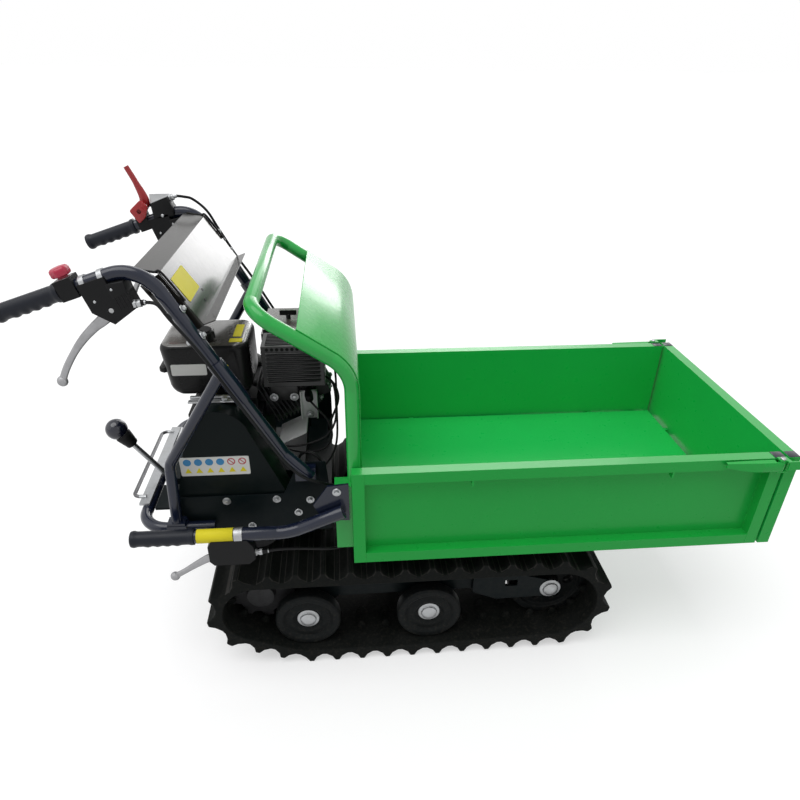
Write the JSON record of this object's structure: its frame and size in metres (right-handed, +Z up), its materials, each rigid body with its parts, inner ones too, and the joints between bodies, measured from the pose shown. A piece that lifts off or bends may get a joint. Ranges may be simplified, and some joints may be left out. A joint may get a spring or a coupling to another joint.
{
  "type": "tracked power carrier",
  "caption": "Walk-behind tracked carrier with a tipping drop-side bed, a belt-driven engine behind a hoop guard and raised handlebars with control levers.",
  "frame": {"origin": "centre of the bounding box's base, on the ground", "axes": "+X forward to the bed's gate, +Y to the machine's left, +Z up"},
  "size_m": [1.5152, 0.65, 1.0306],
  "materials": {
    "bed_paint": "semi-gloss",
    "frame_paint": "gloss",
    "engine_paint": "satin",
    "cover_paint": "gloss",
    "black_plastic": "matte",
    "track_rubber": "matte",
    "grip_rubber": "satin",
    "lever_metal": "satin",
    "zinc_steel": "satin",
    "cast_metal": "matte",
    "wheel_plastic": "satin",
    "red_plastic": "gloss"
  },
  "bodies": {
    "chassis": {"chassis_frame": "frame_paint", "engine_deck": "frame_paint", "rear_bumper": "frame_paint", "gear_gate": "zinc_steel", "handle_frame": "frame_paint", "handlebars": "frame_paint", "handle_grips": "grip_rubber", "console_panel": "engine_paint", "belt_cover": "cover_paint", "crankcase": "engine_paint", "engine_cylinder": "cast_metal", "recoil_housing": "engine_paint", "fuel_tank": "black_plastic", "muffler": "cast_metal", "muffler_guard": "engine_paint", "air_cleaner": "black_plastic", "carburettor": "cast_metal", "gearbox": "cast_metal", "drive_belt": "track_rubber", "track_frame_right": "frame_paint", "track_frame_left": "frame_paint", "track_right": "track_rubber", "track_left": "track_rubber", "wheel_axles": "zinc_steel", "controls_right": "black_plastic", "controls_left": "black_plastic", "control_cables": "track_rubber", "machine_bolts": "zinc_steel"},
    "recoil_pull": {"recoil_handle": "black_plastic"},
    "tank_cap": {"fuel_cap": "black_plastic"},
    "crank_drive": {"drive_pulley": "cast_metal"},
    "gearbox_drive": {"gearbox_pulley": "cast_metal"},
    "tensioner": {"belt_tensioner": "cast_metal"},
    "drive_wheel_right": {"sprocket_right": "cast_metal"},
    "drive_wheel_left": {"sprocket_left": "cast_metal"},
    "idler_wheel_right": {"idler_right": "wheel_plastic"},
    "idler_wheel_left": {"idler_left": "wheel_plastic"},
    "rear_roller_right": {"roller_rear_right": "wheel_plastic"},
    "front_roller_right": {"roller_front_right": "wheel_plastic"},
    "rear_roller_left": {"roller_rear_left": "wheel_plastic"},
    "front_roller_left": {"roller_front_left": "wheel_plastic"},
    "steer_right": {"steering_lever_right": "lever_metal"},
    "steer_left": {"steering_lever_left": "lever_metal"},
    "clutch": {"clutch_lever": "red_plastic"},
    "stop_switch": {"stop_button": "red_plastic"},
    "gear_stick": {"gear_lever": "zinc_steel"},
    "bed": {"bed_floor": "bed_paint", "hoop_guard": "bed_paint", "head_board": "bed_paint", "tip_handle": "frame_paint", "tip_grip": "grip_rubber", "tip_lever_bracket": "black_plastic", "tip_cable": "track_rubber", "hinge_pins": "zinc_steel"},
    "tip_release": {"tip_lever": "lever_metal"},
    "side_right": {"side_panel_right": "bed_paint"},
    "side_left": {"side_panel_left": "bed_paint"},
    "gate": {"front_gate": "bed_paint"},
    "corner_latch_right": {"latch_right": "bed_paint"},
    "corner_latch_left": {"latch_left": "bed_paint"}
  },
  "joints": [
    {"name": "bed_tip", "type": "hinge", "parent": "chassis", "child": "bed", "pos_m": [0.3376, 0, 0.284], "axis": [0, 1, 0], "range_deg": [0, 45]},
    {"name": "gate_fold", "type": "hinge", "parent": "bed", "child": "gate", "pos_m": [0.7451, 0, 0.3315], "axis": [0, 1, 0], "range_deg": [0, 90]},
    {"name": "side_right_fold", "type": "hinge", "parent": "bed", "child": "side_right", "pos_m": [0.2876, -0.2925, 0.3315], "axis": [1, 0, 0], "range_deg": [0, 90]},
    {"name": "side_left_fold", "type": "hinge", "parent": "bed", "child": "side_left", "pos_m": [0.2876, 0.2925, 0.3315], "axis": [-1, 0, 0], "range_deg": [0, 90]},
    {"name": "latch_right_swing", "type": "hinge", "parent": "side_right", "child": "corner_latch_right", "pos_m": [0.7126, -0.313, 0.5305], "axis": [0, 0, 1], "range_deg": [0, 80]},
    {"name": "latch_left_swing", "type": "hinge", "parent": "side_left", "child": "corner_latch_left", "pos_m": [0.7126, 0.313, 0.5305], "axis": [0, 0, -1], "range_deg": [0, 80]},
    {"name": "tip_lever_squeeze", "type": "hinge", "parent": "bed", "child": "tip_release", "pos_m": [-0.4384, -0.305, 0.358], "axis": [0, 1, 0], "range_deg": [0, 18], "stiffness_Nm_per_rad": 2, "springref_deg": -17.19},
    {"name": "steer_right_squeeze", "type": "hinge", "parent": "chassis", "child": "steer_right", "pos_m": [-0.5556, -0.24, 0.86564], "axis": [0, 1, 0], "range_deg": [0, 25], "stiffness_Nm_per_rad": 3, "springref_deg": -17.19},
    {"name": "steer_left_squeeze", "type": "hinge", "parent": "chassis", "child": "steer_left", "pos_m": [-0.5556, 0.24, 0.86564], "axis": [0, 1, 0], "range_deg": [0, 25], "stiffness_Nm_per_rad": 3, "springref_deg": -17.19},
    {"name": "clutch_pull", "type": "hinge", "parent": "chassis", "child": "clutch", "pos_m": [-0.61816, 0.24, 0.92956], "axis": [0, -1, 0], "range_deg": [0, 75], "stiffness_Nm_per_rad": 1, "springref_deg": -28.65},
    {"name": "tensioner_swing", "type": "hinge", "parent": "chassis", "child": "tensioner", "pos_m": [-0.31164, -0.185, 0.404], "axis": [0, -1, 0], "range_deg": [0, 4.12]},
    {"name": "stop_press", "type": "slide", "parent": "chassis", "child": "stop_switch", "axis": [0.306, 0, -0.952], "range_m": [0, 0.003], "stiffness_N_per_m": 900, "springref_m": -0.001},
    {"name": "gear_shift", "type": "hinge", "parent": "chassis", "child": "gear_stick", "pos_m": [-0.5664, -0.064, 0.352], "axis": [0, 1, 0], "range_deg": [-8, 8]},
    {"name": "recoil_pull_out", "type": "slide", "parent": "chassis", "child": "recoil_pull", "axis": [-0.7538, 0, 0.6571], "range_m": [0, 0.35], "stiffness_N_per_m": 20, "springref_m": -0.2},
    {"name": "cap_turn", "type": "hinge", "parent": "chassis", "child": "tank_cap", "pos_m": [-0.4564, -0.082, 0.751], "axis": [0, 0, 1], "range_deg": [0, 90]},
    {"name": "crank_spin", "type": "hinge", "parent": "chassis", "child": "crank_drive", "pos_m": [-0.4244, -0.185, 0.531], "axis": [0, 1, 0], "continuous": true},
    {"name": "gearbox_spin", "type": "hinge", "parent": "chassis", "child": "gearbox_drive", "pos_m": [-0.3814, -0.185, 0.345], "axis": [0, 1, 0], "continuous": true},
    {"name": "drive_right_spin", "type": "hinge", "parent": "chassis", "child": "drive_wheel_right", "pos_m": [-0.3814, -0.197, 0.16], "axis": [0, 1, 0], "continuous": true},
    {"name": "idler_right_spin", "type": "hinge", "parent": "chassis", "child": "idler_wheel_right", "pos_m": [0.30666, -0.197, 0.1415], "axis": [0, 1, 0], "continuous": true},
    {"name": "rear_roller_right_spin", "type": "hinge", "parent": "chassis", "child": "rear_roller_right", "pos_m": [-0.2734, -0.197, 0.1135], "axis": [0, 1, 0], "continuous": true},
    {"name": "front_roller_right_spin", "type": "hinge", "parent": "chassis", "child": "front_roller_right", "pos_m": [0.0096, -0.197, 0.1135], "axis": [0, 1, 0], "continuous": true},
    {"name": "drive_left_spin", "type": "hinge", "parent": "chassis", "child": "drive_wheel_left", "pos_m": [-0.3814, 0.197, 0.16], "axis": [0, 1, 0], "continuous": true},
    {"name": "idler_left_spin", "type": "hinge", "parent": "chassis", "child": "idler_wheel_left", "pos_m": [0.30666, 0.197, 0.1415], "axis": [0, 1, 0], "continuous": true},
    {"name": "rear_roller_left_spin", "type": "hinge", "parent": "chassis", "child": "rear_roller_left", "pos_m": [-0.2734, 0.197, 0.1135], "axis": [0, 1, 0], "continuous": true},
    {"name": "front_roller_left_spin", "type": "hinge", "parent": "chassis", "child": "front_roller_left", "pos_m": [0.0096, 0.197, 0.1135], "axis": [0, 1, 0], "continuous": true}
  ],
  "couplings": [
    {"joint": "tensioner_swing", "follows": "clutch_pull", "ratio": 0.054897},
    {"joint": "gearbox_spin", "follows": "crank_spin", "ratio": 0.68966},
    {"joint": "idler_right_spin", "follows": "drive_right_spin", "ratio": 0.83037},
    {"joint": "rear_roller_right_spin", "follows": "drive_right_spin", "ratio": 1.0293},
    {"joint": "front_roller_right_spin", "follows": "drive_right_spin", "ratio": 1.0293},
    {"joint": "idler_left_spin", "follows": "drive_left_spin", "ratio": 0.83037},
    {"joint": "rear_roller_left_spin", "follows": "drive_left_spin", "ratio": 1.0293},
    {"joint": "front_roller_left_spin", "follows": "drive_left_spin", "ratio": 1.0293}
  ]
}
